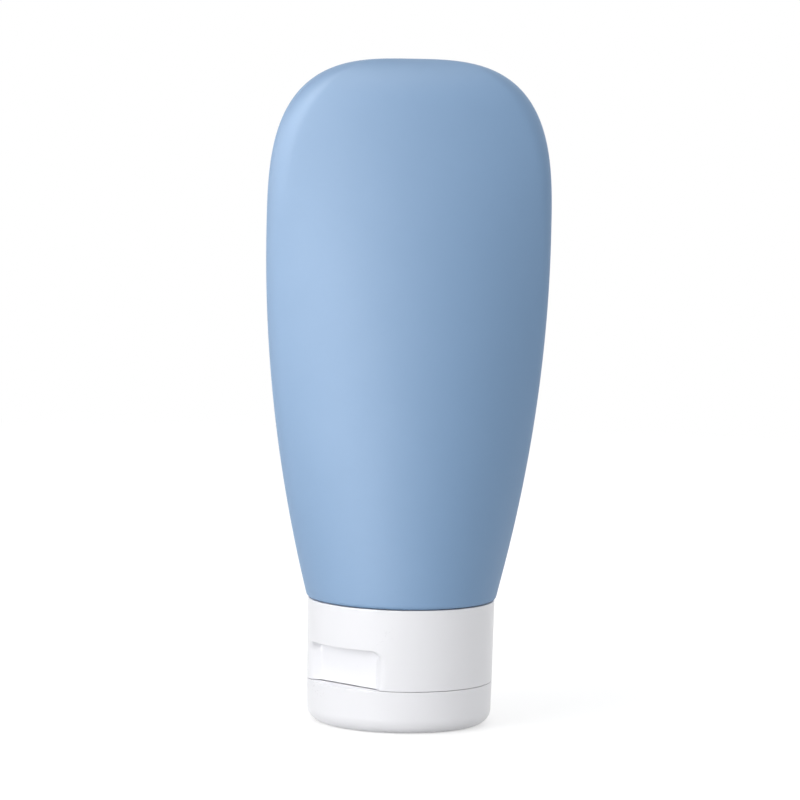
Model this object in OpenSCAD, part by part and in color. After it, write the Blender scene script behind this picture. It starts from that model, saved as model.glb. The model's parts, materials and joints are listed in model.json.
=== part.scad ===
// Travel squeeze tube: a blow-moulded body that stands upside down on its flip-top screw cap.
// Millimetres, +Z up. The origin is under the centre of the lid's flat face. The body's broad
// front looks along -Y. The cap unscrews downwards, off the neck.

/* [Squeeze body] */
// Height of the body, from the shoulder at the cap to the crest of the rounded end
body_h = 96.7; // [80:0.1:130]
// Greatest width of the body
body_w = 51.3; // [46:0.1:60]
// Height above the shoulder at which the body is widest
widest_h = 65.5; // [50:0.1:74]
// How far the edge of the round shoulder stands out past the cap's rim
shoulder_proud = 0.2; // [0:0.05:1]
// Depth that the body thins to at its crest, before the end domes over
end_depth = 13.3; // [9:0.1:24]
// How the body thins on the way up (1 is evenly, more is later)
taper_power = 1.7; // [1:0.1:2.5]
// Radius of the soft edges between the broad front and back, at and above the widest height
edge_r = 5.5; // [3:0.1:7]
// Rounding of the shoulder's edge
shoulder_round = 0.9; // [0.5:0.1:2.5]
// Wall thickness of the body
body_wall = 1.2; // [0.8:0.1:2]
// How square the rounded end is seen from the front (2 is an ellipse)
end_power = 3.1; // [2:0.05:4]
// Height over which the end domes over from the front face to the back
dome_h = 8.5; // [4:0.1:16]

/* [Neck and thread] */
// Outside diameter of the neck
neck_d = 19.8; // [17.6:0.1:20.2]
// Bore of the neck
neck_bore_d = 15.6; // [10:0.1:16.2]
// How far the thread ridges stand out of the neck and into the cap's socket
ridge_h = 1; // [0.6:0.05:1.2]
// Width of a thread ridge at its root
ridge_root_w = 1.5; // [1:0.05:1.6]
// Width of a thread ridge at its crest
ridge_crest_w = 0.6; // [0.3:0.05:0.8]
// Advance of the thread in one turn
pitch = 3.2; // [3:0.05:3.6]
// Turns of thread on the neck and in the cap
thread_turns = 1.25; // [1:0.05:1.5]
// Length of bare neck below the thread
thread_start = 1.2; // [0.4:0.1:1.6]
// Clearance between the two threads
thread_gap = 0.3; // [0.2:0.05:0.4]

/* [Screw cap] */
// Diameter of the cap at its upper rim
cap_d = 33.6; // [32.6:0.1:36]
// How much narrower the cap's skirt is at the parting line
cap_draft = 0.3; // [0:0.05:0.6]
// Height of the cap's skirt above the lid
skirt_h = 14.5; // [13.9:0.1:16]
// Wall thickness of the outer skirt
skirt_wall = 1.3; // [0.9:0.1:1.6]
// Wall thickness of the threaded socket inside the skirt
socket_wall = 1.2; // [0.9:0.1:1.4]
// How far the socket's rim stays below the skirt's rim
socket_setback = 1.6; // [0.8:0.1:2]
// Thickness of the deck that closes the cap over the neck's mouth
deck_t = 1.3; // [1:0.1:1.8]
// Clearance between the skirt's rim and the body's shoulder
shoulder_gap = 0.15; // [0.1:0.05:0.6]
// Outside diameter of the nozzle
nozzle_d = 6.8; // [6:0.1:9]
// Diameter of the nozzle's orifice
orifice_d = 3.5; // [2.5:0.1:4]
// How far the nozzle stands out of the deck
nozzle_h = 3.4; // [2.6:0.1:4.4]
// Height of the ring under the deck that guides the lid
ring_h = 1.4; // [0.8:0.1:2]
// Wall thickness of that ring
ring_wall = 0.9; // [0.6:0.1:1.2]
// Clearance between the ring and the lid's wall
ring_gap = 0.3; // [0.25:0.05:0.5]
// Chamfer that breaks the moulding's edges
edge_break = 0.3; // [0.1:0.05:0.4]

/* [Thumb recess] */
// Direction of the recess around the axis, from the body's front, positive to the right
thumb_angle = -52; // [-90:1:90]
// Width of the recess
thumb_w = 17; // [12:0.5:18]
// Height of the recess above the lid
thumb_h = 7; // [5:0.1:9]
// Depth of the recess, from the skirt's surface to its flat back
thumb_depth = 3.7; // [2.5:0.1:3.8]
// Rounding of the recess's upper corners
thumb_round = 2; // [1:0.1:3]
// Thickness of the walls behind, beside and above the recess
thumb_wall = 1.1; // [0.8:0.1:1.3]

/* [Flip lid] */
// Height of the parting line above the lid's standing face
lid_h = 7.8; // [7:0.1:10]
// How much narrower the lid is at its rounded edge than at the parting line
lid_draft = 0.2; // [0:0.05:0.4]
// Wall thickness of the lid
lid_wall = 1.2; // [0.9:0.1:1.6]
// Thickness of the lid's floor
lid_floor = 1.3; // [1:0.1:2]
// Rounding of the lid's outer edge
lid_round = 2.6; // [1.5:0.1:3.2]
// Gap of the parting line
parting_gap = 0.1; // [0.1:0.05:0.3]
// Clearance around the pin that closes the orifice
pin_gap = 0.1; // [0.08:0.01:0.15]
// Thickness of the ledge that the thumb pushes
ledge_t = 1.2; // [0.8:0.1:1.6]

/* [Living hinge] */
// Width of the hinge film
film_w = 7.2; // [4:0.1:8]
// Thickness of the hinge film
film_t = 0.35; // [0.25:0.05:0.5]
// Height of the hinge film, half on the cap and half on the lid
film_h = 3; // [2:0.1:4]
// Depth of the flat that the hinge film lies on
hinge_flat = 0.7; // [0.55:0.05:0.8]
// Height of that flat above the parting line
flat_h = 3; // [2:0.1:5]

/* [Sealing washer] */
// Thickness of the washer between the neck's mouth and the deck
washer_t = 1.1; // [0.8:0.1:1.8]
// Outside diameter of the washer
washer_d = 21; // [18:0.1:21.4]
// Diameter of the washer's hole
washer_hole_d = 14.6; // [8:0.1:15]
// Clearance above and below the washer
washer_gap = 0.1; // [0.05:0.05:0.2]

/* [Hidden] */
$fn = 96;

// Heights, from the standing face upwards
lid_rim = lid_h - parting_gap;
nozzle_end = lid_h - nozzle_h;
deck_top = lid_h + deck_t;
neck_end = deck_top + washer_t + 2 * washer_gap;
cap_top = lid_h + skirt_h;
socket_top = cap_top - socket_setback;
shoulder_z = cap_top + shoulder_gap;
neck_thread_z = neck_end + thread_start + ridge_root_w / 2;
cap_thread_z = neck_thread_z + (ridge_root_w + ridge_crest_w) / 2 + thread_gap;

// Radii and the diameter of the shoulder over the cap
cap_r = cap_d / 2;
shoulder_d = cap_d + 2 * shoulder_proud;
part_r = cap_r - cap_draft / 2;
lid_low_r = part_r - lid_draft / 2;
lid_in_r = part_r - lid_wall;
ring_r = lid_in_r - ring_gap;
neck_r = neck_d / 2;
socket_r = neck_r + ridge_h + thread_gap;
socket_out_r = socket_r + socket_wall;
nozzle_r = nozzle_d / 2;
orifice_r = orifice_d / 2;
pin_r = orifice_r - pin_gap;

// Polar directions of the recess and of the hinge opposite it, and their flats' distances
thumb_dir = thumb_angle - 90;
hinge_dir = thumb_dir + 180;
recess_x = part_r - thumb_depth;
hinge_x = part_r - hinge_flat;

// Depth to which one solid sinks into another where they are one piece
fuse = 0.3;
// Longer than any cut needs to be
far = 40;

// Radius of the edges at the shoulder, as a share of the shoulder's own, and the most that an
// edge may have anywhere, as a share of the half-depth
round_share = 0.8;
round_most = 0.85;

body_blue = [0.62, 0.74, 0.87];
cap_white = [0.96, 0.96, 0.97];
washer_grey = [0.85, 0.85, 0.83];

// Resolution of the body's loft
quarter = 14;
sides = 4 * quarter;
corner_rings = 4;
flank_rings = 10;
end_rings = 12;

// Points of an arc from angle a0 to a1
function arc(centre, r, a0, a1, steps = 8) = [
    for (i = [0:steps])
        let (a = a0 + (a1 - a0) * i / steps)
        [centre[0] + r * cos(a), centre[1] + r * sin(a)]
];

// Share of the way down from the widest height to the shoulder, squared
function low_share(h) = pow(max(0, 1 - h / widest_h), 2);

// Half-width, half-depth and edge radius at a height h above the shoulder, before the end
// closes in. The section is round at the shoulder, so its edges are nearly as round there.
function half_w(h) = body_w / 2 - (body_w - shoulder_d) / 2 * low_share(h);
function half_d(h) =
    shoulder_d / 2 - (shoulder_d - end_depth) / 2 * pow(h / body_h, taper_power);
function edge_at(h) = min(
    edge_r + (round_share * shoulder_d / 2 - edge_r) * low_share(h),
    round_most * half_d(h)
);

// Share of its full size that a rounded end keeps at a share s of its height
function end_share(s, power) = pow(1 - pow(max(0, s), power), 1 / power);

// A ring of a skin that lies a wall's thickness inside: [height, half-width, half-depth, edge]
function flank_ring(h, inset, wall) = [
    h,
    half_w(h) - wall - inset,
    half_d(h) - wall - inset,
    edge_at(h) - wall - inset
];
function end_ring(s, wall) =
    let (
        crest = body_h - wall,
        h = widest_h + (crest - widest_h) * s,
        dome_s = 1 - (crest - h) / (dome_h - wall)
    )
    [
        h,
        (half_w(h) - wall) * end_share(s, end_power),
        (half_d(h) - wall) * end_share(dome_s, 2),
        (edge_at(h) - wall) * end_share(dome_s, 2)
    ];

// All rings of a skin: the shoulder's rounding, the flank, and the end closing in
function skin_rings(wall) = concat(
    [
        for (p = arc([0, 0], shoulder_round, 0, 90, corner_rings))
            flank_ring(wall + shoulder_round - p[0], shoulder_round - p[1], wall)
    ],
    [
        for (i = [1:flank_rings - 1])
            let (low = wall + shoulder_round)
            flank_ring(low + (widest_h - low) * i / flank_rings, 0, wall)
    ],
    [
        for (i = [0:end_rings - 1])
            end_ring(pow(sin(90 * i / end_rings), 2 / end_power), wall)
    ]
);

// Directions of a ring's normals over one quarter turn, from an edge to the broad front, and
// over the next one. They lie closer together across the broad faces.
function to_broad(i) = 90 * (1 - pow(1 - i / quarter, 1.5));
function from_broad(i) = 90 + 90 * pow(i / quarter, 1.5);
ring_turns = [
    for (half = [0, 180]) each [
        for (i = [0:quarter - 1]) half + to_broad(i),
        for (i = [0:quarter - 1]) half + from_broad(i)
    ]
];

// Points around one ring: broad flat arcs at the front and back, tangent to the round edges
function ring_points(ring) =
    let (
        w = ring[1],
        d = ring[2],
        e = ring[3],
        broad = (w * w + d * d - 2 * w * e) / (2 * (d - e)),
        meet = acos(min(1, (w - e) / (broad - e)))
    )
    [
        for (turn = ring_turns)
            let (c = cos(turn), s = sin(turn))
            abs(s) < sin(meet)
                ? [sign(c) * (w - e) + e * c, e * s, ring[0]]
                : [broad * c, sign(s) * (d - broad) + broad * s, ring[0]]
    ];

// A closed skin, from its flat bottom to a pole at the crest
module skin(wall) {
    rings = skin_rings(wall);
    last = (len(rings) - 1) * sides;
    pole = len(rings) * sides;
    points = concat(
        [for (ring = rings) each ring_points(ring)],
        [[0, 0, body_h - wall]]
    );
    bottom = [[for (k = [0:sides - 1]) k]];
    flank = [
        for (i = [0:len(rings) - 2], k = [0:sides - 1])
            let (a = i * sides + k, b = i * sides + (k + 1) % sides)
            each [[a, a + sides, b], [b, a + sides, b + sides]]
    ];
    crest = [for (k = [0:sides - 1]) [last + k, pole, last + (k + 1) % sides]];
    polyhedron(points, concat(bottom, flank, crest), convexity = 4);
}

// A right-handed helical ridge that stands on a cylinder of radius r and fades out at its ends.
// It stands outwards where side is 1 and inwards where side is -1.
module thread_ridge(r, side) {
    steps = ceil(24 * thread_turns);
    root = r - side * fuse;
    points = [
        for (i = [0:steps])
            let (
                t = i / steps,
                turn = 360 * thread_turns * t,
                z = pitch * thread_turns * t,
                share = max(0.15, min(1, 8 * t, 8 * (1 - t))),
                crest = r + side * ridge_h * share,
                section = [
                    [root, -ridge_root_w / 2], [crest, -ridge_crest_w / 2],
                    [crest, ridge_crest_w / 2], [root, ridge_root_w / 2]
                ]
            )
            each [for (p = section) [p[0] * cos(turn), p[0] * sin(turn), z + p[1]]]
    ];
    walls = [
        for (i = [0:steps - 1], k = [0:3])
            let (a = 4 * i + k, b = 4 * i + (k + 1) % 4)
            each [[a, b, a + 4], [b, b + 4, a + 4]]
    ];
    ends = [[3, 2, 1, 0], [for (k = [0:3]) 4 * steps + k]];
    faces = concat(walls, ends);
    polyhedron(
        points,
        side > 0 ? faces : [for (f = faces) [for (i = [len(f) - 1:-1:0]) f[i]]],
        convexity = 6
    );
}

module tube_body() {
    color(body_blue)
        difference() {
            union() {
                translate([0, 0, shoulder_z])
                    difference() {
                        skin(0);
                        skin(body_wall);
                    }
                translate([0, 0, neck_end])
                    cylinder(r = neck_r, h = shoulder_z + body_wall / 2 - neck_end);
                translate([0, 0, neck_thread_z])
                    thread_ridge(neck_r, 1);
            }
            translate([0, 0, neck_end - fuse])
                cylinder(d = neck_bore_d, h = far);
        }
}

module sealing_washer() {
    color(washer_grey)
        translate([0, 0, deck_top + washer_gap])
            difference() {
                cylinder(d = washer_d, h = washer_t);
                translate([0, 0, -fuse])
                    cylinder(d = washer_hole_d, h = washer_t + 2 * fuse);
            }
}

// Turned section of the cap: skirt, deck, threaded socket, nozzle and the ring for the lid
module cap_section() {
    polygon([
        [part_r - edge_break, lid_h], [part_r, lid_h + edge_break],
        [cap_r, cap_top - edge_break], [cap_r - edge_break, cap_top],
        [cap_r - skirt_wall, cap_top], [part_r - skirt_wall, deck_top],
        [socket_out_r, deck_top], [socket_out_r, socket_top],
        [socket_r, socket_top], [socket_r, deck_top],
        [orifice_r, deck_top], [orifice_r, nozzle_end],
        [nozzle_r - edge_break, nozzle_end], [nozzle_r, nozzle_end + edge_break],
        [nozzle_r, lid_h], [ring_r - ring_wall, lid_h],
        [ring_r - ring_wall, lid_h - ring_h], [ring_r - edge_break, lid_h - ring_h],
        [ring_r, lid_h - ring_h + edge_break], [ring_r, lid_h]
    ]);
}

// The recess, or a form that is grown around it, outwards from a distance x from the axis
module recess_solid(x, grow) {
    w = thumb_w / 2 + grow;
    top = lid_h + thumb_h + grow;
    r = thumb_round + grow;
    rotate([0, 0, thumb_dir])
        translate([x, 0, 0])
            rotate([90, 0, 90])
                linear_extrude(far)
                    polygon(concat(
                        [[-w, -far], [w, -far]],
                        arc([w - r, top - r], r, 0, 90, 6),
                        arc([r - w, top - r], r, 90, 180, 6)
                    ));
}

// All that lies beyond the hinge's flat, up to a height
module beyond_hinge_flat(top) {
    rotate([0, 0, hinge_dir])
        translate([hinge_x, -far / 2, -far])
            cube([far, far, far + top]);
}

module cap_base() {
    color(cap_white)
        difference() {
            union() {
                rotate_extrude()
                    cap_section();
                intersection() {
                    recess_solid(recess_x - thumb_wall, thumb_wall);
                    translate([0, 0, lid_h])
                        difference() {
                            cylinder(r = part_r - skirt_wall / 2, h = skirt_h);
                            translate([0, 0, -fuse])
                                cylinder(r = socket_r + socket_wall / 2, h = skirt_h + 2 * fuse);
                        }
                }
                translate([0, 0, cap_thread_z])
                    thread_ridge(socket_r, -1);
            }
            recess_solid(recess_x, 0);
            beyond_hinge_flat(lid_h + flat_h);
        }
}

// Turned section of the lid: floor, wall with a rounded edge, and a round-nosed pin
module lid_section() {
    polygon(concat(
        [[0, 0]],
        arc([lid_low_r - lid_round, lid_round], lid_round, -90, 0, 12),
        [[part_r, lid_rim - edge_break], [part_r - edge_break, lid_rim]],
        [[lid_in_r, lid_rim], [lid_in_r, lid_floor], [pin_r, lid_floor]],
        arc([0, nozzle_end], pin_r, 0, 90, 8)
    ));
}

// Ledge inside the lid's rim that fills the bottom of the recess
module thumb_ledge() {
    intersection() {
        rotate([0, 0, thumb_dir])
            translate([recess_x + parting_gap, parting_gap - thumb_w / 2, lid_rim - ledge_t])
                cube([far, thumb_w - 2 * parting_gap, ledge_t]);
        cylinder(r = part_r - lid_wall / 2, h = far);
    }
}

module flip_lid() {
    color(cap_white)
        difference() {
            union() {
                rotate_extrude()
                    lid_section();
                thumb_ledge();
            }
            beyond_hinge_flat(far);
        }
}

module living_hinge() {
    color(cap_white)
        rotate([0, 0, hinge_dir])
            translate([hinge_x, -film_w / 2, lid_h - (parting_gap + film_h) / 2])
                cube([film_t, film_w, film_h]);
}

tube_body();
sealing_washer();
cap_base();
flip_lid();
living_hinge();
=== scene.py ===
# %% [markdown]
# A travel squeeze tube stands upside down on its flip-top screw cap. It has a blue body, a
# white cap, a flip lid, the thin film that joins cap and lid, and a foam washer inside. The
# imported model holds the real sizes, the bodies and the joints, and nothing in it is moved.
# This lesson gives each piece its soft moulded form and its finish.

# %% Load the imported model
import json
import math

import bmesh
import bpy
from mathutils import Matrix, Vector


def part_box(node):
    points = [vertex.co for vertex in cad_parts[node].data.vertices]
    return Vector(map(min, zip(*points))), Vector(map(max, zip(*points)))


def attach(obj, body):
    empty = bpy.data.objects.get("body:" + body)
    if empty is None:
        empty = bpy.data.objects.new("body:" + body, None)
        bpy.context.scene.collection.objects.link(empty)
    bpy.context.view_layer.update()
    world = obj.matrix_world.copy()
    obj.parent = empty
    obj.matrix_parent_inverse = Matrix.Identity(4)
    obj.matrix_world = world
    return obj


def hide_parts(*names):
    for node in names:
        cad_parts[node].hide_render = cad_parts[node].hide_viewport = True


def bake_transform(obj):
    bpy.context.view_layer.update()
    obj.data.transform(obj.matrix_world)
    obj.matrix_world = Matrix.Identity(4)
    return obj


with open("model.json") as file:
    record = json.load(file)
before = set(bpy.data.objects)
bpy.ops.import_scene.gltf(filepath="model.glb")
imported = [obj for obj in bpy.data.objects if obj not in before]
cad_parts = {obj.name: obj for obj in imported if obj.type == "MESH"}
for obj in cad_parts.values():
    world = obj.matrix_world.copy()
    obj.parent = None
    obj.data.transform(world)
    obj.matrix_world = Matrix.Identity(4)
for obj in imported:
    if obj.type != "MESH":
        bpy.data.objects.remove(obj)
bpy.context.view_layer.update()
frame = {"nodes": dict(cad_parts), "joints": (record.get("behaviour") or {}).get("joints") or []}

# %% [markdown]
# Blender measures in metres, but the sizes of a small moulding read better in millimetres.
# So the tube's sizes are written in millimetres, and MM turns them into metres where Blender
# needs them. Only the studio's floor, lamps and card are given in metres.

MM = 0.001

# %% [markdown]
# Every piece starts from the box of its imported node, so the scene follows the model when
# the model changes. The few sizes that a box can't give, such as a wall or the radius of an
# edge, are named next to the piece that needs them. The hinge's joint gives a direction as
# well: the hinge lies on one side of the cap, and the thumb recess straight opposite.

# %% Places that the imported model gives


def corners_of(node):
    """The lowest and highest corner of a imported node, in millimetres."""
    low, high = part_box(node)
    return low / MM, high / MM


tube_low, tube_high = corners_of("tube_body")
film_low, film_high = corners_of("living_hinge")
washer_low, washer_high = corners_of("sealing_washer")
cap_high = corners_of("cap_base")[1]
lid_high = corners_of("flip_lid")[1]

hinge = next(joint for joint in frame["joints"] if joint["name"] == "lid_flip")
hinge_z = hinge["pos_m"][2] / MM
hinge_dir = math.atan2(hinge["pos_m"][1], hinge["pos_m"][0])
thumb_dir = hinge_dir + math.pi
print("Hinge at", round(math.degrees(hinge_dir), 1), "degrees, height", round(hinge_z, 2))

# %% [markdown]
# The camera stands where the photographer's did: 85 cm away, a little above the crest and 8
# degrees to the left of the front. A short lens close by would spread the body's sides, so
# it has a long one, which keeps them nearly parallel. The picture is turned by about a
# degree, so the camera is too. Its place and lens were found by laying the model's outline
# over the photograph's.

# %% The camera
VIEW_AZIMUTH = math.radians(-8)
VIEW_DISTANCE = 850 * MM
VIEW_HEIGHT = 143.7 * MM
AIM_HEIGHT = 58.03 * MM
AIM_LEFT = 1.0 * MM
VIEW_ROLL = math.radians(1.27)
SENSOR = 36
FOCAL_PIXELS = 4764
PICTURE_PIXELS = 800

to_right = Vector((math.cos(VIEW_AZIMUTH), math.sin(VIEW_AZIMUTH), 0))
to_camera = Vector((math.sin(VIEW_AZIMUTH), -math.cos(VIEW_AZIMUTH), 0))
eye = to_camera * VIEW_DISTANCE + Vector((0, 0, VIEW_HEIGHT))
aim = Vector((0, 0, AIM_HEIGHT)) - to_right * AIM_LEFT

camera = bpy.data.objects.new("camera", bpy.data.cameras.new("camera"))
bpy.context.scene.collection.objects.link(camera)
camera.location = eye
look = (aim - eye).to_track_quat("-Z", "Y")
camera.rotation_euler = (look.to_matrix() @ Matrix.Rotation(VIEW_ROLL, 3, "Z")).to_euler()
camera.data.sensor_width = SENSOR
camera.data.lens = FOCAL_PIXELS * SENSOR / PICTURE_PIXELS
bpy.context.scene.camera = camera
print("Lens of", round(camera.data.lens), "mm at", round((aim - eye).length, 3), "m")

# %% [markdown]
# Moulded plastic has no sharp edge: the steel tool's corners are broken, and the plastic
# flows around them. A bevel modifier could round a finished solid, but here every corner has
# its own radius. So a turned section is written as a list of corners, each with its own
# rounding, and one helper puts the curves in. It also adds a point on both sides of each
# curve, so that smooth shading keeps the flat stretches flat.

# %% A helper that rounds the corners of a section
ARC_STEPS = 5
GUARD = 0.12


def rounded_section(corners, closed):
    """The section (radius, height) through corners (radius, height, rounding)."""
    points = []
    count = len(corners)
    for i, (r, z, rounding) in enumerate(corners):
        here = Vector((r, z))
        at_end = not closed and i in (0, count - 1)
        if rounding == 0 or at_end:
            points.append(here)
            continue
        before = (Vector(corners[i - 1][:2]) - here).normalized()
        after = (Vector(corners[(i + 1) % count][:2]) - here).normalized()
        points.append(here + before * (rounding + GUARD))
        for step in range(ARC_STEPS + 1):
            t = step / ARC_STEPS
            pull = before * (1 - t) ** 2 + after * t ** 2
            points.append(here + pull * rounding)
        points.append(here + after * (rounding + GUARD))
    return points


print("A rounded corner takes", ARC_STEPS + 3, "points")

# %% [markdown]
# A skin is a stack of closed rows of points with the same number of points in each. Rows
# that follow each other are joined by four-sided faces, a row can end in a single tip, and
# a section that closes on itself joins its last row to its first. Cutting primitives with
# each other would be shorter to write, but it leaves ragged faces that shade badly. Rows
# give each piece as one closed solid with true walls.

# %% Helpers that make a skin, an object and a finished piece


def add_skin(work, rows, joined=False, tips=()):
    """Joins closed rows of points, in millimetres, into one closed skin."""
    rings = [[work.verts.new(Vector(p) * MM) for p in row] for row in rows]
    pairs = list(zip(rings, rings[1:]))
    if joined:
        pairs.append((rings[-1], rings[0]))
    for low, high in pairs:
        for k, corner in enumerate(low):
            after = (k + 1) % len(low)
            work.faces.new((corner, low[after], high[after], high[k]))
    for tip, ring in zip(tips, (rings[0], rings[-1])):
        centre = work.verts.new(Vector(tip) * MM)
        for k, corner in enumerate(ring):
            work.faces.new((corner, ring[(k + 1) % len(ring)], centre))


def object_from(name, work, material):
    """Turns what was worked on into an object of the scene, with its material."""
    mesh = bpy.data.meshes.new(name)
    work.to_mesh(mesh)
    work.free()
    mesh.materials.append(material)
    thing = bpy.data.objects.new(name, mesh)
    bpy.context.scene.collection.objects.link(thing)
    return thing


def finish_piece(name, work, material):
    """Turns the skins into one smooth piece with its material."""
    bmesh.ops.recalc_face_normals(work, faces=work.faces)
    piece = object_from(name, work, material)
    piece.data.shade_smooth()
    print(name, "has", len(piece.data.polygons), "faces")
    return piece


# %% [markdown]
# Two plastics make the tube, a soft matte one and a harder glossy one. Both come out of a
# steel mould, so both have the same three marks at different strengths: a fine grain, a
# slow waviness from shrinking, and a slight cloudiness of the pigment. These are one node
# group, built once. It puts out only what changes over the surface, and the numbers that
# are the same all over stay on each material's own shader.

# %% The group for moulded plastic
CLOUD_DETAIL = 2
GRAIN_DETAIL = 1


def moulded_plastic_group():
    """Colour, roughness and height of a moulded surface, from two noises."""
    group = bpy.data.node_groups.new("moulded plastic", "ShaderNodeTree")
    face = group.interface
    face.new_socket("Place", in_out="INPUT", socket_type="NodeSocketVector")
    for name in ("Pale", "Deep"):
        face.new_socket(name, in_out="INPUT", socket_type="NodeSocketColor")
    for name in ("Cloud scale", "Grain scale", "Grain share", "Smooth", "Rough"):
        face.new_socket(name, in_out="INPUT", socket_type="NodeSocketFloat")
    face.new_socket("Colour", in_out="OUTPUT", socket_type="NodeSocketColor")
    for name in ("Roughness", "Height"):
        face.new_socket(name, in_out="OUTPUT", socket_type="NodeSocketFloat")
    make = group.nodes.new
    link = group.links.new
    given = make("NodeGroupInput")
    result = make("NodeGroupOutput")
    cloud = make("ShaderNodeTexNoise")
    grain = make("ShaderNodeTexNoise")
    for noise, scale, detail in (
        (cloud, "Cloud scale", CLOUD_DETAIL), (grain, "Grain scale", GRAIN_DETAIL),
    ):
        noise.inputs["Detail"].default_value = detail
        link(given.outputs["Place"], noise.inputs["Vector"])
        link(given.outputs[scale], noise.inputs["Scale"])
    tint = make("ShaderNodeMix")
    tint.data_type = "RGBA"
    link(cloud.outputs["Fac"], tint.inputs["Factor"])
    link(given.outputs["Pale"], tint.inputs["A"])
    link(given.outputs["Deep"], tint.inputs["B"])
    link(tint.outputs["Result"], result.inputs["Colour"])
    both = make("ShaderNodeMix")
    link(given.outputs["Grain share"], both.inputs["Factor"])
    link(cloud.outputs["Fac"], both.inputs["A"])
    link(grain.outputs["Fac"], both.inputs["B"])
    link(both.outputs["Result"], result.inputs["Height"])
    spread = make("ShaderNodeMapRange")
    link(both.outputs["Result"], spread.inputs["Value"])
    link(given.outputs["Smooth"], spread.inputs["To Min"])
    link(given.outputs["Rough"], spread.inputs["To Max"])
    link(spread.outputs["Result"], result.inputs["Roughness"])
    return group


MOULDED = moulded_plastic_group()
print("The group for moulded plastic has", len(MOULDED.nodes), "nodes")

# %% [markdown]
# The squeeze body is a soft polyethylene with a blue pigment, and it feels like skin: wide,
# soft highlights and no sharp reflection. The cap is white polypropylene from a polished
# mould, with tighter highlights. The washer is a pale closed-cell foam, rough all over. All
# three are the same group with other values: two close tints, the scales of the cloudiness
# and the grain, the smoothest and roughest gloss, and the height of the relief.

# %% Materials


def plastic(name, pale, deep, cloud, grain, share, smooth, rough, height):
    """A moulded plastic: its two close tints, the scales of its marks and its gloss."""
    material = bpy.data.materials.new(name)
    material.use_nodes = True
    nodes = material.node_tree.nodes
    link = material.node_tree.links.new
    shader = nodes["Principled BSDF"]
    marks = nodes.new("ShaderNodeGroup")
    marks.node_tree = MOULDED
    for socket, value in (
        ("Pale", (*pale, 1)), ("Deep", (*deep, 1)), ("Cloud scale", cloud),
        ("Grain scale", grain), ("Grain share", share), ("Smooth", smooth), ("Rough", rough),
    ):
        marks.inputs[socket].default_value = value
    place = nodes.new("ShaderNodeTexCoord")
    bump = nodes.new("ShaderNodeBump")
    bump.inputs["Distance"].default_value = height * MM
    link(place.outputs["Object"], marks.inputs["Place"])
    link(marks.outputs["Height"], bump.inputs["Height"])
    link(marks.outputs["Colour"], shader.inputs["Base Color"])
    link(marks.outputs["Roughness"], shader.inputs["Roughness"])
    link(bump.outputs["Normal"], shader.inputs["Normal"])
    return material


body_plastic = plastic(
    "soft blue plastic", pale=(0.213, 0.351, 0.553), deep=(0.203, 0.339, 0.537),
    cloud=90, grain=2600, share=0.35, smooth=0.50, rough=0.62, height=0.012,
)
cap_plastic = plastic(
    "white cap plastic", pale=(0.860, 0.862, 0.890), deep=(0.848, 0.850, 0.878),
    cloud=60, grain=3200, share=0.25, smooth=0.26, rough=0.30, height=0.002,
)
washer_foam = plastic(
    "pale foam", pale=(0.82, 0.82, 0.80), deep=(0.74, 0.74, 0.71),
    cloud=400, grain=5200, share=0.7, smooth=0.75, rough=0.95, height=0.05,
)
print("Materials:", body_plastic.name, "/", cap_plastic.name, "/", washer_foam.name)

# %% [markdown]
# The squeeze body is blown from a soft tube of plastic inside a mould. It is round where it
# meets the cap, then widens and thins into a flattened end that closes over itself. Its
# cross-section is a rounded lens: two broad arcs, front and back, that meet soft round
# edges. A subdivided cage could give such a form, but rings worked out from a few laws
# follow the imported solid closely, so this way was chosen.

# %% Sizes of the squeeze body
SHOULDER_GAP = 0.15
SHOULDER_Z = cap_high.z + SHOULDER_GAP
SHOULDER_R = tube_high.y
SHOULDER_ROUND = 0.6
BODY_HEIGHT = tube_high.z - SHOULDER_Z
BODY_WALL = 1.2
HALF_WIDTH = tube_high.x
# Height of the widest ring above the shoulder
WIDEST = 65.5
# Half the depth that the body thins to at its crest, and how late it thins
END_HALF_DEPTH = 13.3 / 2
TAPER_POWER = 1.7
# Radius of the soft edges, their radius at the shoulder as a share of the shoulder's own,
# and the most that an edge may have anywhere, as a share of the half-depth
EDGE_R = 5.5
ROUND_SHARE = 0.8
ROUND_MOST = 0.85
# How square the end is seen from the front (2 is an ellipse), and how far below the crest
# its depth starts to close
END_POWER = 3.1
DOME_HEIGHT = 8.5
print("Body of", round(BODY_HEIGHT, 1), "mm over a shoulder of radius", round(SHOULDER_R, 1))

# %% [markdown]
# Three laws give the width, the depth and the edge radius of the ring at each height. The
# width and the edge change only below the widest ring, where a square law blends them into
# the round shoulder. The depth thins all the way up. Above the widest ring the front view
# closes in a superellipse, and near the crest the depth closes in a quarter of an ellipse.

# %% The laws of the body's form


def low_share(h):
    """How much of the round shoulder is left at a height: 1 at its foot, 0 at the widest."""
    return max(0, 1 - h / WIDEST) ** 2


def flank_ring(h, inset):
    """Height, half-width, half-depth and edge radius, set in from the outer skin."""
    width = HALF_WIDTH - (HALF_WIDTH - SHOULDER_R) * low_share(h)
    depth = SHOULDER_R - (SHOULDER_R - END_HALF_DEPTH) * (h / BODY_HEIGHT) ** TAPER_POWER
    edge = EDGE_R + (ROUND_SHARE * SHOULDER_R - EDGE_R) * low_share(h)
    return h, width - inset, depth - inset, min(edge, ROUND_MOST * depth) - inset


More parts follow.
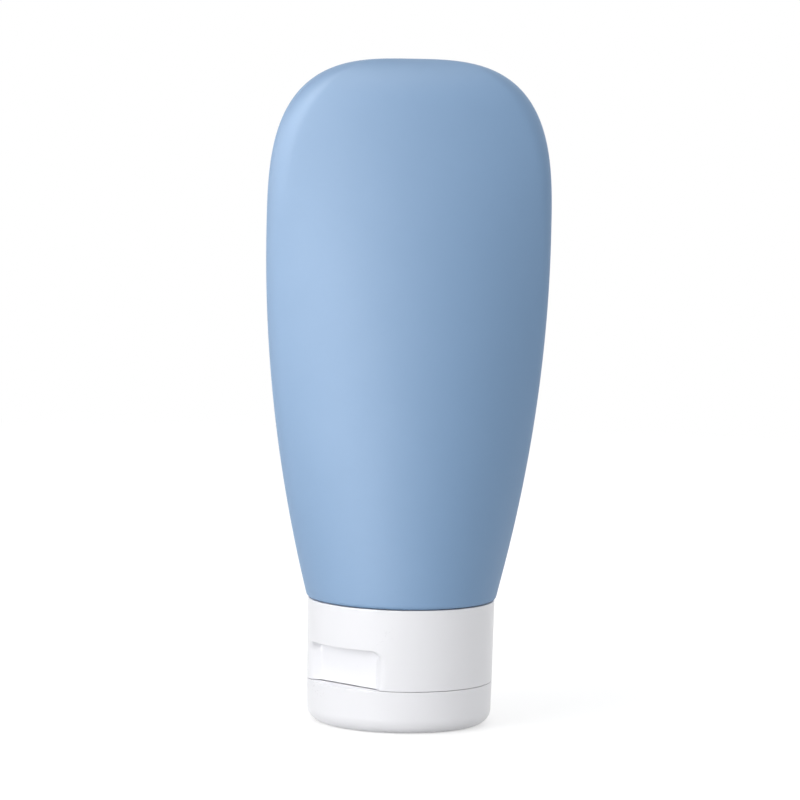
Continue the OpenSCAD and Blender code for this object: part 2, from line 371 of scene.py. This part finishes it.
def end_ring(share, wall):
    """A ring of the end that closes in, at a share of the way up to its crest."""
    crest = BODY_HEIGHT - wall
    h = WIDEST + (crest - WIDEST) * share
    width, depth, edge = flank_ring(h, wall)[1:]
    over = max(0, 1 - (crest - h) / (DOME_HEIGHT - wall))
    closing = math.sqrt(1 - over ** 2)
    return h, width * (1 - share ** END_POWER) ** (1 / END_POWER), depth * closing, edge * closing


widest_ring = flank_ring(WIDEST, 0)
print("At its widest it is", [round(2 * size, 1) for size in widest_ring[1:3]], "mm")

# %% [markdown]
# A skin of the body is a stack of such rings. They follow the small rounding at the
# shoulder, climb the flanks in even steps, and crowd together towards the crest, where the
# end closes fastest. The same rings, set in by the wall's thickness, make the inner skin.

# %% The rings of a skin
CORNER_RINGS = 10
FLANK_RINGS = 46
END_RINGS = 64


def skin_of_body(wall):
    """The rings of a skin a wall's thickness inside, from the shoulder to the crest."""
    rings = []
    for i in range(CORNER_RINGS + 1):
        turn = math.pi / 2 * i / CORNER_RINGS
        drop = SHOULDER_ROUND * (1 - math.cos(turn))
        rise = SHOULDER_ROUND * (1 - math.sin(turn))
        rings.append(flank_ring(wall + drop, wall + rise))
    low = wall + SHOULDER_ROUND
    for i in range(1, FLANK_RINGS):
        rings.append(flank_ring(low + (WIDEST - low) * i / FLANK_RINGS, wall))
    for i in range(END_RINGS):
        rings.append(end_ring(math.sin(math.pi / 2 * i / END_RINGS) ** (2 / END_POWER), wall))
    return rings


print("Each skin of the body has", len(skin_of_body(0)), "rings")

# %% [markdown]
# Each ring's points are found by the direction in which the skin faces there. On a lens
# that direction turns fast around the narrow edges and slowly across the broad faces. Equal
# turns would leave the faces with few points, so the directions crowd towards the front and
# the back. The same directions serve the round neck, so its rows join the body's.

# %% Points around one ring of the body
QUARTER = 48
CROWDING = 1.5


def ring_turns():
    """Directions of the normals, closer together across the broad faces."""
    to_broad = [math.pi / 2 * (1 - (1 - i / QUARTER) ** CROWDING) for i in range(QUARTER)]
    from_broad = [math.pi / 2 * (1 + (i / QUARTER) ** CROWDING) for i in range(QUARTER)]
    half = to_broad + from_broad
    return half + [turn + math.pi for turn in half]


TURNS = ring_turns()


def lens_row(ring):
    """A closed row of points around a rounded lens."""
    h, width, depth, edge = ring
    broad = (width ** 2 + depth ** 2 - 2 * width * edge) / (2 * (depth - edge))
    meet = math.acos(min(1, (width - edge) / (broad - edge)))
    row = []
    for turn in TURNS:
        c = math.cos(turn)
        s = math.sin(turn)
        if abs(s) < math.sin(meet):
            x = math.copysign(width - edge, c) + edge * c
            y = edge * s
        else:
            x = broad * c
            y = broad * s - math.copysign(broad - depth, s)
        row.append((x, y, SHOULDER_Z + h))
    return row


def round_row(r, z):
    """A closed row of points around a circle, in the same directions."""
    return [(r * math.cos(turn), r * math.sin(turn), z) for turn in TURNS]


print("Each ring has", len(TURNS), "points")

# %% [markdown]
# The neck is hidden in the cap, but it shows when the cap is unscrewed. It is moulded in
# one with the body: a short cylinder with a wide bore and a soft fillet into the shoulder.
# Its section is turned into rows that lie between the body's inner and outer skin, so that
# body and neck are one piece, as on the real tube.

# %% The neck
NECK_R = 9.9
BORE_R = 7.8
NECK_FILLET = 0.7
LIP_ROUND = 0.3


def neck_rows():
    """The neck from the bore's lip outwards and up to the shoulder."""
    section = rounded_section(
        [
            (BORE_R, SHOULDER_Z + BODY_WALL, 0), (BORE_R, tube_low.z, LIP_ROUND),
            (NECK_R, tube_low.z, LIP_ROUND), (NECK_R, SHOULDER_Z, NECK_FILLET),
            (SHOULDER_R - SHOULDER_ROUND, SHOULDER_Z, 0),
        ],
        closed=False,
    )
    return [round_row(r, z) for r, z in section[:-1]]


print("The neck is", round(SHOULDER_Z - tube_low.z, 1), "mm long")

# %% [markdown]
# The thread is one coarse ridge that winds around the neck, and the cap's socket carries the
# same ridge turned inwards. A screw modifier could sweep it, but it can't let the ridge rise
# and sink at its ends, as a moulded thread does. So its small section is placed step by
# step along the helix, lower at both ends, and its root is sunk into the wall.

# %% The thread
PITCH = 3.2
THREAD_TURNS = 1.25
THREAD_START = 1.2
THREAD_GAP = 0.3
STEPS_A_TURN = 96
RIDGE_HEIGHT = 1.0
RIDGE_ROOT = 1.5
RIDGE_CREST = 0.6
RIDGE_SINK = 0.3
# How far the crest's broken edges reach down the ridge, and half of their reach across it
CREST_DROP = 0.12
CREST_SOFT = 0.08
# The share of the thread's length over which each end fades, and the fade's least value
FADE_SHARE = 0.125
FADE_LEAST = 0.05


def eased(t):
    """The same way from 0 to 1 with a soft start and a soft end."""
    return t * t * (3 - 2 * t)


def thread_rows(r, side, start_z):
    """A right-handed ridge outwards (side 1) or inwards (side -1) from a radius."""
    rows = []
    steps = math.ceil(STEPS_A_TURN * THREAD_TURNS)
    for i in range(steps + 1):
        t = i / steps
        turn = 2 * math.pi * THREAD_TURNS * t
        z = start_z + PITCH * THREAD_TURNS * t
        fade = max(FADE_LEAST, min(1, t / FADE_SHARE, (1 - t) / FADE_SHARE))
        crest = r + side * RIDGE_HEIGHT * eased(fade)
        shoulder = crest - side * CREST_DROP
        root = r - side * RIDGE_SINK
        section = [
            (root, -RIDGE_ROOT / 2), (shoulder, -RIDGE_CREST / 2 - CREST_SOFT),
            (crest, -RIDGE_CREST / 2 + CREST_SOFT), (crest, RIDGE_CREST / 2 - CREST_SOFT),
            (shoulder, RIDGE_CREST / 2 + CREST_SOFT), (root, RIDGE_ROOT / 2),
        ]
        rows.append([(p * math.cos(turn), p * math.sin(turn), z + q) for p, q in section])
    return rows


def add_strand(work, rows):
    """A skin along a path, with each end closed on the middle of its last row."""
    middles = [sum((Vector(p) for p in row), Vector()) / len(row) for row in (rows[0], rows[-1])]
    add_skin(work, rows, tips=middles)


neck_thread_z = tube_low.z + THREAD_START + RIDGE_ROOT / 2
print("The neck's thread starts at", round(neck_thread_z, 2), "mm")

# %% [markdown]
# Now the body is put together. Its rows run without a break from the crest of the inner
# skin down to the shoulder, around the neck's lip, and up the outer skin to the crest. One
# closed skin with two tips is thus a real bottle with a real hollow, not a solid block.

# %% The squeeze body
body_work = bmesh.new()
outer_rows = [lens_row(ring) for ring in skin_of_body(0)]
inner_rows = [lens_row(ring) for ring in skin_of_body(BODY_WALL)]
add_skin(
    body_work,
    inner_rows[::-1] + neck_rows() + outer_rows,
    tips=((0, 0, tube_high.z - BODY_WALL), (0, 0, tube_high.z)),
)
add_strand(body_work, thread_rows(NECK_R, 1, neck_thread_z))
squeeze_body = finish_piece("squeeze_body", body_work, body_plastic)
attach(squeeze_body, "tube")
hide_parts("tube_body")

# %% [markdown]
# The screw cap is injection moulded. Its section can be turned, but two places break the
# round: the thumb recess at the front left, and the flat behind it that carries the hinge.
# A cut with another solid would leave hard, thin edges. So the cap is made as rows around
# its axis, and the points near the recess and the flat are pushed inwards through a mask.

# %% Sizes of the cap
PARTING_Z = 2 * hinge_z - lid_high.z
PARTING_GAP = PARTING_Z - lid_high.z
PARTING_R = cap_high.x - 0.15
SKIRT_WALL = 1.3
DECK_TOP = PARTING_Z + 1.3
SOCKET_R = NECK_R + RIDGE_HEIGHT + THREAD_GAP
SOCKET_OUT = SOCKET_R + 1.2
SOCKET_TOP = cap_high.z - 1.6
NOZZLE_R = 3.4
NOZZLE_END = PARTING_Z - 3.4
ORIFICE_R = 1.75
HINGE_FLAT = 0.7
HINGE_X = PARTING_R - HINGE_FLAT
FLAT_TOP = PARTING_Z + 3.0
RECESS_HALF = 16.4 / 2
RECESS_TOP = 7.0
RECESS_DEPTH = 3.7
RECESS_X = PARTING_R - RECESS_DEPTH
RECESS_WALL = 1.1
RECESS_ROUND = 2.0
# How broadly the recess runs out into the skirt at its sides and at its roof
RECESS_SIDE_SOFT = 3.2
RECESS_ROOF_SOFT = 0.12
print("Parting line at", round(PARTING_Z, 2), "mm, recess back at", round(RECESS_X, 2), "mm")

# %% [markdown]
# The columns are the angles at which the cap's and the lid's sections are repeated. Even
# steps would either miss the soft sides of the recess or need far too many points. So the
# columns lie close together at the recess's sides, fairly close across the hinge's flat,
# and far apart in between. Angles are counted from the middle of the recess.

# %% Columns around the cap and the lid
# How far from the middle the close columns lie: at the recess's sides, and on the flat
SIDE_FROM = 6.1
SIDE_TO = 10.8
FLAT_REACH = 5.4
# The steps, in radians: in the recess, at its sides, around the skirt and on the flat
BACK_STEP = 0.030
SIDE_STEP = 0.0065
ROUND_STEP = 0.045
FLAT_STEP = 0.012


def column_angles():
    """Angles from the recess, close together at its sides and across the hinge's flat."""
    near, beyond, flat = (math.asin(y / PARTING_R) for y in (SIDE_FROM, SIDE_TO, FLAT_REACH))
    half = []
    for start, end, step in (
        (0, near, BACK_STEP), (near, beyond, SIDE_STEP),
        (beyond, math.pi - flat, ROUND_STEP), (math.pi - flat, math.pi, FLAT_STEP),
    ):
        count = math.ceil((end - start) / step)
        half += [start + (end - start) * k / count for k in range(count)]
    return half + [math.pi] + [-angle for angle in half[:0:-1]]


COLUMNS = column_angles()
print("The cap has", len(COLUMNS), "columns")

# %% [markdown]
# The mask says how far a point lies in the recess. It is a rectangle with rounded upper
# corners, seen from outside, that starts at the parting line. Its edge is crisp at the roof,
# where the photograph shows a thin shadow, and soft at the sides, which the photograph
# hardly shows.

# %% The mask of the recess


def soft_step(value, soft):
    """1 well below zero, 0 well above it, and smooth in between."""
    return eased(min(1, max(0, 0.5 - value / soft)))


def recess_share(y, z, grow):
    """How far a point lies in the recess, seen from outside: 1 inside, 0 outside."""
    corner = RECESS_ROUND + grow
    across = max(0, abs(y) - RECESS_HALF - grow + corner)
    up = max(0, z - PARTING_Z - RECESS_TOP - grow + corner)
    away = math.hypot(across, up)
    if away == 0:
        return 1
    soft = RECESS_ROOF_SOFT + (RECESS_SIDE_SOFT - RECESS_ROOF_SOFT) * (across / away) ** 2
    return soft_step(away - corner, soft)


def placed(along, across, z):
    """A point given along and across the direction of the recess, in the tube's own frame."""
    c = math.cos(thumb_dir)
    s = math.sin(thumb_dir)
    return along * c - across * s, along * s + across * c, z


middle_of_recess = (0, PARTING_Z + RECESS_TOP / 2)
print("In the middle of the recess the mask is", recess_share(*middle_of_recess, grow=0))

# %% [markdown]
# The section runs once around the cap's wall: up the skirt, over its rim, down inside to the
# deck, over the socket, and through the orifice and around the nozzle back to the start. Up
# to the end of the recess's roof the skirt is cut into fine steps, or the mask would have no
# points to push.

# %% The cap's section
EDGE = 0.3
FINE_EDGE = 0.2
INNER_EDGE = 0.1
RIM_EDGE = 0.15
PARTING_EDGE = 0.06
ROOF_END = PARTING_Z + RECESS_TOP + RECESS_WALL + RECESS_SIDE_SOFT / 2
ROOF_SHARE = (ROOF_END - PARTING_Z) / (cap_high.z - PARTING_Z)
ROOF_R = PARTING_R + (cap_high.x - PARTING_R) * ROOF_SHARE
CAP_CORNERS = [
    (PARTING_R, PARTING_Z, PARTING_EDGE), (ROOF_R, ROOF_END, 0),
    (cap_high.x, cap_high.z, RIM_EDGE), (cap_high.x - SKIRT_WALL, cap_high.z, EDGE),
    (ROOF_R - SKIRT_WALL, ROOF_END, 0), (PARTING_R - SKIRT_WALL, DECK_TOP, EDGE),
    (SOCKET_OUT, DECK_TOP, FINE_EDGE), (SOCKET_OUT, SOCKET_TOP, EDGE),
    (SOCKET_R, SOCKET_TOP, EDGE), (SOCKET_R, DECK_TOP, INNER_EDGE),
    (ORIFICE_R, DECK_TOP, FINE_EDGE), (ORIFICE_R, NOZZLE_END, FINE_EDGE),
    (NOZZLE_R, NOZZLE_END, EDGE), (NOZZLE_R, PARTING_Z, EDGE),
]
RECESS_STEP = 0.08
PLAIN_STEP = 0.5
INNER_STEP = 4
# A stretch this near the socket, or one that rises less than this, isn't the skirt's wall
NEAR_SOCKET = 1
LEAST_RISE = 1


def cap_step(start, end):
    """The longest step of the section: fine on the skirt up to the recess's roof."""
    if min(start.x, end.x) < SOCKET_OUT + NEAR_SOCKET or abs(end.y - start.y) < LEAST_RISE:
        return INNER_STEP
    if max(start.y, end.y) > ROOF_END + PLAIN_STEP:
        return PLAIN_STEP
    outer = min(start.x, end.x) > PARTING_R - SKIRT_WALL / 2
    return RECESS_STEP if outer else 2 * RECESS_STEP


def split_long(points, longest):
    """A closed section with every long stretch cut into equal steps."""
    result = []
    for i, start in enumerate(points):
        end = points[(i + 1) % len(points)]
        steps = max(1, math.ceil((end - start).length / longest(start, end)))
        result += [start.lerp(end, k / steps) for k in range(steps)]
    return result


cap_section = split_long(rounded_section(CAP_CORNERS, closed=True), cap_step)
print("The cap's section has", len(cap_section), "points")

# %% [markdown]
# Each point of the section is turned to its column and then pushed in. At the recess the
# skirt goes back to the recess's own wall, but never into the socket, which the real mould
# keeps round. On the far side only the skirt's outside is cut back, to the hinge's flat.

# %% The cap's skirt, deck, socket and nozzle
# Heights closer than this count as the same
SAME = 0.01
# How near the socket the pushing stops, and the gap that a pushed point keeps from it
SOCKET_REACH = 0.3
SOCKET_CLEAR = 0.06
FLAT_SOFT = 0.3


def cap_point(angle, r, z):
    """A point of the turned cap, pushed in at the recess and at the hinge's flat."""
    along = r * math.cos(angle)
    across = r * math.sin(angle)
    if z < PARTING_Z - SAME or r < SOCKET_OUT + SOCKET_REACH:
        return placed(along, across, z)
    outer = r > PARTING_R - SKIRT_WALL / 2
    if along > 0:
        grow = 0 if outer else RECESS_WALL
        back = RECESS_X - grow
        clear = math.sqrt(max(0, (SOCKET_OUT + SOCKET_CLEAR) ** 2 - across ** 2))
        inward = min(along, max(back, clear))
        along += (inward - along) * recess_share(across, z, grow)
    elif outer:
        along += (max(along, -HINGE_X) - along) * soft_step(z - FLAT_TOP, FLAT_SOFT)
    return placed(along, across, z)


cap_work = bmesh.new()
cap_rows = [[cap_point(angle, r, z) for angle in COLUMNS] for r, z in cap_section]
add_skin(cap_work, cap_rows, joined=True)
print("The cap's skin has", len(cap_work.faces), "faces")

# %% [markdown]
# Under the deck a low ring guides the lid home. It stops on both sides of the recess. In the
# socket runs the cap's own ridge of thread, which follows the neck's with a small clearance.
# Both are strands in the same mesh as the cap, because the real cap is one moulding.

# %% The guide ring and the cap's thread
RING_R = PARTING_R - 1.5
RING_WALL = 0.9
RING_HEIGHT = 1.4
RING_SINK = 0.2
RING_ROOT_EDGE = 0.05
RING_STOP = math.asin((RECESS_HALF + RECESS_WALL) / RING_R)
RING_STEPS = 120


def ring_rows():
    """The guide ring, from one side of the recess around the back to the other."""
    top = PARTING_Z + RING_SINK
    foot = PARTING_Z - RING_HEIGHT
    section = rounded_section(
        [
            (RING_R - RING_WALL, top, RING_ROOT_EDGE), (RING_R - RING_WALL, foot, FINE_EDGE),
            (RING_R, foot, EDGE), (RING_R, top, RING_ROOT_EDGE),
        ],
        closed=True,
    )
    rows = []
    for i in range(RING_STEPS + 1):
        angle = RING_STOP + (2 * math.pi - 2 * RING_STOP) * i / RING_STEPS
        rows.append([placed(r * math.cos(angle), r * math.sin(angle), z) for r, z in section])
    return rows


cap_thread_z = neck_thread_z + (RIDGE_ROOT + RIDGE_CREST) / 2 + THREAD_GAP
add_strand(cap_work, ring_rows())
add_strand(cap_work, thread_rows(SOCKET_R, -1, cap_thread_z))
screw_cap = finish_piece("screw_cap", cap_work, cap_plastic)
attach(screw_cap, "cap")
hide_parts("cap_base")

# %% [markdown]
# The lid is a shallow cup with a broad rounded edge, and the tube stands on its flat face.
# Inside, a round-nosed pin closes the nozzle. On the recess's side the rim widens into a
# flat ledge, which the thumb pushes. A separate block for the ledge would show a seam, so
# the ledge is the same rim, whose inner edge is pulled in to a straight line.

# %% Sizes of the flip lid
LID_LOW_R = PARTING_R - 0.1
LID_IN_R = PARTING_R - 1.2
LID_FLOOR = 1.3
LID_ROUND = 2.6
LEDGE = 1.2
LEDGE_X = RECESS_X + PARTING_GAP
PIN_R = ORIFICE_R - 0.1
print("The lid's flat face has a radius of", round(LID_LOW_R - LID_ROUND, 1), "mm")

# %% [markdown]
# The section starts in the middle of the flat face, goes up outside, over the rim and down
# inside, crosses the floor and climbs the pin to its nose. It is turned to the same columns
# as the cap's, so that both rims have their points at the same angles.

# %% The flip lid
# Radii of the rows across the flat face
FACE_RADII = (1, 4, 8, 11, 12.8, LID_LOW_R - LID_ROUND - GUARD)
LID_ARC_STEPS = 12
NOSE_STEPS = 8
RIM_ROUND = 0.12
FLOOR_ROUND = 0.5
# A short step that keeps the ledge's underside level, and how near the rim's inner edge a
# point has to be to move with it
LEDGE_FOOT = 0.05
RIM_BAND = 0.3


def lid_section():
    """The lid's turned section, from the middle of its flat face round to the pin's nose."""
    outside = [Vector((r, 0)) for r in FACE_RADII]
    for i in range(LID_ARC_STEPS + 1):
        turn = math.pi / 2 * i / LID_ARC_STEPS
        r = LID_LOW_R - LID_ROUND + LID_ROUND * math.sin(turn)
        outside.append(Vector((r, LID_ROUND * (1 - math.cos(turn)))))
    rim = rounded_section(
        [
            (LID_LOW_R, LID_ROUND + GUARD, 0), (PARTING_R, lid_high.z, PARTING_EDGE),
            (LID_IN_R, lid_high.z, RIM_ROUND), (LID_IN_R, lid_high.z - LEDGE, 0),
            (LID_IN_R, lid_high.z - LEDGE - LEDGE_FOOT, 0), (LID_IN_R, LID_FLOOR, FLOOR_ROUND),
            (PIN_R, LID_FLOOR, EDGE), (PIN_R, NOZZLE_END, 0),
        ],
        closed=False,
    )
    nose = []
    for i in range(1, NOSE_STEPS):
        turn = math.pi / 2 * i / NOSE_STEPS
        nose.append(Vector((PIN_R * math.cos(turn), NOZZLE_END + PIN_R * math.sin(turn))))
    return outside + rim + nose


def lid_point(angle, r, z):
    """A point of the turned lid, with the ledge at the recess and the hinge's flat."""
    along = r * math.cos(angle)
    across = r * math.sin(angle)
    if z > lid_high.z - LEDGE - SAME and abs(r - LID_IN_R) < RIM_BAND:
        along = min(along, LEDGE_X + (r - LID_IN_R))
    return placed(max(along, -HINGE_X), across, z)


lid_work = bmesh.new()
lid_rows = [[lid_point(angle, r, z) for angle in COLUMNS] for r, z in lid_section()]
add_skin(lid_work, lid_rows, tips=((0, 0, 0), (0, 0, NOZZLE_END + PIN_R)))
flip_top_lid = finish_piece("flip_top_lid", lid_work, cap_plastic)
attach(flip_top_lid, "lid")
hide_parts("flip_lid")

# %% [markdown]
# The living hinge is a film of the cap's own plastic, moulded thin across the parting line
# so that it bends there and nowhere else. It is a strip whose thickness dips to a groove at
# the axis. It is built of many rows along its height, and it stays where the imported film
# stands.

# %% The living hinge
FILM_THICK = 0.35
FILM_GROOVE = 0.12
FILM_HALF = 7.2 / 2
FILM_CORNER = 0.12
GROOVE_HALF = 0.5
# How far from its ends the film thins, and by how much
END_LENGTH = 0.3
END_DROP = 0.15
FILM_ROWS = 60


def film_rows():
    """Closed rows around the film, one for each height, thinner at the axis."""
    rows = []
    for i in range(FILM_ROWS + 1):
        z = film_low.z + (film_high.z - film_low.z) * i / FILM_ROWS
        dip = FILM_GROOVE * soft_step(abs(z - hinge_z) - GROOVE_HALF / 2, GROOVE_HALF)
        full = min(1, (z - film_low.z) / END_LENGTH, (film_high.z - z) / END_LENGTH)
        inner = dip / 2
        outer = FILM_THICK - END_DROP * (1 - full) - dip / 2
        section = [
            (inner, -FILM_HALF), (outer - FILM_CORNER, -FILM_HALF),
            (outer, -FILM_HALF + FILM_CORNER), (outer, 0), (outer, FILM_HALF - FILM_CORNER),
            (outer - FILM_CORNER, FILM_HALF), (inner, FILM_HALF), (inner, 0),
        ]
        rows.append([placed(-HINGE_X - depth, across, z) for depth, across in section])
    return rows


film_work = bmesh.new()
add_strand(film_work, film_rows())
hinge_film = finish_piece("hinge_film", film_work, cap_plastic)
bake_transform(hinge_film)
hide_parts("living_hinge")

# %% [markdown]
# The sealing washer is a plain flat ring between the neck's mouth and the cap's deck. The
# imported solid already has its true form, so it stays and only gets its foam.

# %% The washer's foam
washer = frame["nodes"]["sealing_washer"]
washer.data.materials.clear()
washer.data.materials.append(washer_foam)
print("Washer between", round(washer_low.z, 2), "and", round(washer_high.z, 2), "mm")

# %% [markdown]
# The studio is a pale floor under an even sky. A white sky that lit the tube at full
# strength would burn out the pale cap. So sky and floor are shown in one way to the camera
# and in reflections, and light the tube in another, through the Light Path node. One helper
# does this for both, and it stays in the material itself, because an export can't read the
# Light Path node inside a group.

# %% A helper that shows one shader to the eye and lights with another


def seen_and_lit(nodes, link, lit, seen, target):
    """Camera, glossy and transmission rays meet the seen shader, all others the lit one."""
    rays = nodes.new("ShaderNodeLightPath")
    share = rays.outputs["Is Camera Ray"]
    for kind in ("Is Glossy Ray", "Is Transmission Ray"):
        either = nodes.new("ShaderNodeMath")
        either.operation = "MAXIMUM"
        link(share, either.inputs[0])
        link(rays.outputs[kind], either.inputs[1])
        share = either.outputs[0]
    mix = nodes.new("ShaderNodeMixShader")
    link(share, mix.inputs["Fac"])
    link(lit.outputs[0], mix.inputs[1])
    link(seen.outputs[0], mix.inputs[2])
    link(mix.outputs[0], target)


# %% [markdown]
# The sky stands for the white walls and ceiling of a studio. It fills every side of the tube
# with an even light, and the camera sees it as plain white.

# %% The sky
SKY_LIGHT = 0.66
SKY_SEEN = 1.0


def sky():
    """An even white world that lights more weakly than it looks."""
    world = bpy.data.worlds.new("studio sky")
    world.use_nodes = True
    nodes = world.node_tree.nodes
    link = world.node_tree.links.new
    lit = nodes["Background"]
    seen = nodes.new("ShaderNodeBackground")
    for shader, strength in ((lit, SKY_LIGHT), (seen, SKY_SEEN)):
        shader.inputs["Color"].default_value = (1, 1, 1, 1)
        shader.inputs["Strength"].default_value = strength
    seen_and_lit(nodes, link, lit, seen, nodes["World Output"].inputs["Surface"])
    return world


bpy.context.scene.world = sky()
print("The sky lights with", SKY_LIGHT, "and is seen as", SKY_SEEN)

# %% [markdown]
# The floor carries the tube's shadow. Its paint is a mid grey, so it throws little light up
# at the cap, and a glow that only the eye meets lifts it to white. The glow is added and
# not mixed in, so the shadow under the tube stays. Away from the tube the floor's own
# shading gives way to plain white, so that no horizon shows.

# %% The floor
FLOOR_SIZE = 12
FLOOR_GREY = 0.55
FLOOR_ROUGHNESS = 0.9
FLOOR_GLOW = 0.53
# Distances from the tube up to which the shading is whole, and from which it is all white
SHADED_TO = 0.15
WHITE_FROM = 0.50


def floor_material():
    """A matte grey that the camera sees lifted to white, with its shadow."""
    material = bpy.data.materials.new("pale floor")
    material.use_nodes = True
    nodes = material.node_tree.nodes
    link = material.node_tree.links.new
    paint = nodes["Principled BSDF"]
    paint.inputs["Base Color"].default_value = (FLOOR_GREY, FLOOR_GREY, FLOOR_GREY, 1)
    paint.inputs["Roughness"].default_value = FLOOR_ROUGHNESS
    glow = nodes.new("ShaderNodeEmission")
    glow.inputs["Strength"].default_value = FLOOR_GLOW
    lifted = nodes.new("ShaderNodeAddShader")
    link(paint.outputs[0], lifted.inputs[0])
    link(glow.outputs[0], lifted.inputs[1])
    place = nodes.new("ShaderNodeTexCoord")
    away = nodes.new("ShaderNodeVectorMath")
    away.operation = "LENGTH"
    link(place.outputs["Object"], away.inputs[0])
    far = nodes.new("ShaderNodeMapRange")
    far.inputs["From Min"].default_value = SHADED_TO
    far.inputs["From Max"].default_value = WHITE_FROM
    link(away.outputs["Value"], far.inputs["Value"])
    white = nodes.new("ShaderNodeEmission")
    seen = nodes.new("ShaderNodeMixShader")
    link(far.outputs["Result"], seen.inputs["Fac"])
    link(lifted.outputs[0], seen.inputs[1])
    link(white.outputs[0], seen.inputs[2])
    seen_and_lit(nodes, link, paint, seen, nodes["Material Output"].inputs["Surface"])
    return material


floor_work = bmesh.new()
bmesh.ops.create_grid(floor_work, x_segments=1, y_segments=1, size=FLOOR_SIZE / 2)
floor = object_from("floor", floor_work, floor_material())
print("The floor is", FLOOR_SIZE, "m wide")

# %% [markdown]
# Large soft boxes light the tube, as in a product studio. The key lamp stands to the left
# and gives the body its bright left half. A weak fill keeps the right half from going dark,
# and a back lamp lifts the sides that the front doesn't show. A real studio also has white
# panels, which light little but show in glossy plastic as soft bands. One kind of lamp for
# both would make the cap too bright, so the panels are lamps that only reflections see.

# %% A helper for soft lamps
LAMP_DISTANCE = 0.8
SOFT_BOX = (0.45, 0.40)
WHITE_PANEL = (0.40, 0.60)


def soft_lamp(name, azimuth, rise, radiance, size=SOFT_BOX, matte=True, gloss=True):
    """A rectangle that faces the middle of the tube, with its angle across from the camera's."""
    width, height = size
    data = bpy.data.lights.new(name, "AREA")
    data.shape = "RECTANGLE"
    data.size = width
    data.size_y = height
    data.energy = radiance * math.pi * width * height
    lamp = bpy.data.objects.new(name, data)
    bpy.context.scene.collection.objects.link(lamp)
    turn = VIEW_AZIMUTH + math.radians(azimuth)
    tilt = math.radians(rise)
    flat = Vector((math.sin(turn), -math.cos(turn), 0))
    way = flat * math.cos(tilt) + Vector((0, 0, math.sin(tilt)))
    lamp.location = Vector((0, 0, AIM_HEIGHT)) + way * LAMP_DISTANCE
    lamp.rotation_euler = (-way).to_track_quat("-Z", "Y").to_euler()
    lamp.visible_diffuse = matte
    lamp.visible_glossy = gloss
    print(name, "at", azimuth, "degrees across and", rise, "up")


# %% [markdown]
# The angle across is counted from the camera, minus to the left and plus to the right. The
# first three lamps light the tube. The other six are the white panels: four in a row, from
# the left side round to the front, and two higher up that show in the upper curves.

# %% The lamps
soft_lamp("key lamp", azimuth=-45, rise=12, radiance=4.3)
soft_lamp("fill lamp", azimuth=15, rise=12, radiance=1.3)
soft_lamp("back lamp", azimuth=165, rise=20, radiance=2.4, gloss=False)
for azimuth, rise, radiance in (
    (-105, 8, 4.5), (-75, 8, 5), (-45, 8, 5), (-15, 8, 5), (-60, 45, 10), (-30, 75, 5),
):
    soft_lamp("gloss lamp", azimuth, rise, radiance, size=WHITE_PANEL, matte=False)

# %% [markdown]
# White all round would leave no edge on the right, where plastic reflects most. A
# photographer puts a dark card there, just out of the picture, and its reflection draws the
# edge. This card shows in reflections alone: it throws no shadow and takes no light away
# from the tube.

# %% The dark card
CARD_AZIMUTH = math.radians(80)
CARD_DISTANCE = 0.30
CARD_WIDTH = 0.60
CARD_FOOT = 0.001
CARD_TOP = 0.16
CARD_GREY = 0.02


def card_material():
    """A plain dark matte card."""
    material = bpy.data.materials.new("dark card")
    material.use_nodes = True
    shader = material.node_tree.nodes["Principled BSDF"]
    shader.inputs["Base Color"].default_value = (CARD_GREY, CARD_GREY, CARD_GREY, 1)
    shader.inputs["Roughness"].default_value = 1
    return material


card_turn = VIEW_AZIMUTH + CARD_AZIMUTH
card_middle = Vector((math.sin(card_turn), -math.cos(card_turn), 0)) * CARD_DISTANCE
card_half = Vector((math.cos(card_turn), math.sin(card_turn), 0)) * CARD_WIDTH / 2
card_work = bmesh.new()
card_work.faces.new([
    card_work.verts.new(card_middle + card_half * side + Vector((0, 0, z)))
    for side, z in ((-1, CARD_FOOT), (1, CARD_FOOT), (1, CARD_TOP), (-1, CARD_TOP))
])
card = object_from("dark card", card_work, card_material())
card.visible_camera = False
card.visible_shadow = False
card.visible_diffuse = False
print("The dark card stands", CARD_DISTANCE, "m from the tube")

# %% [markdown]
# The picture is shown as it is worked out, with no film look.

# %% Colour management and the end
bpy.context.scene.view_settings.view_transform = "Standard"
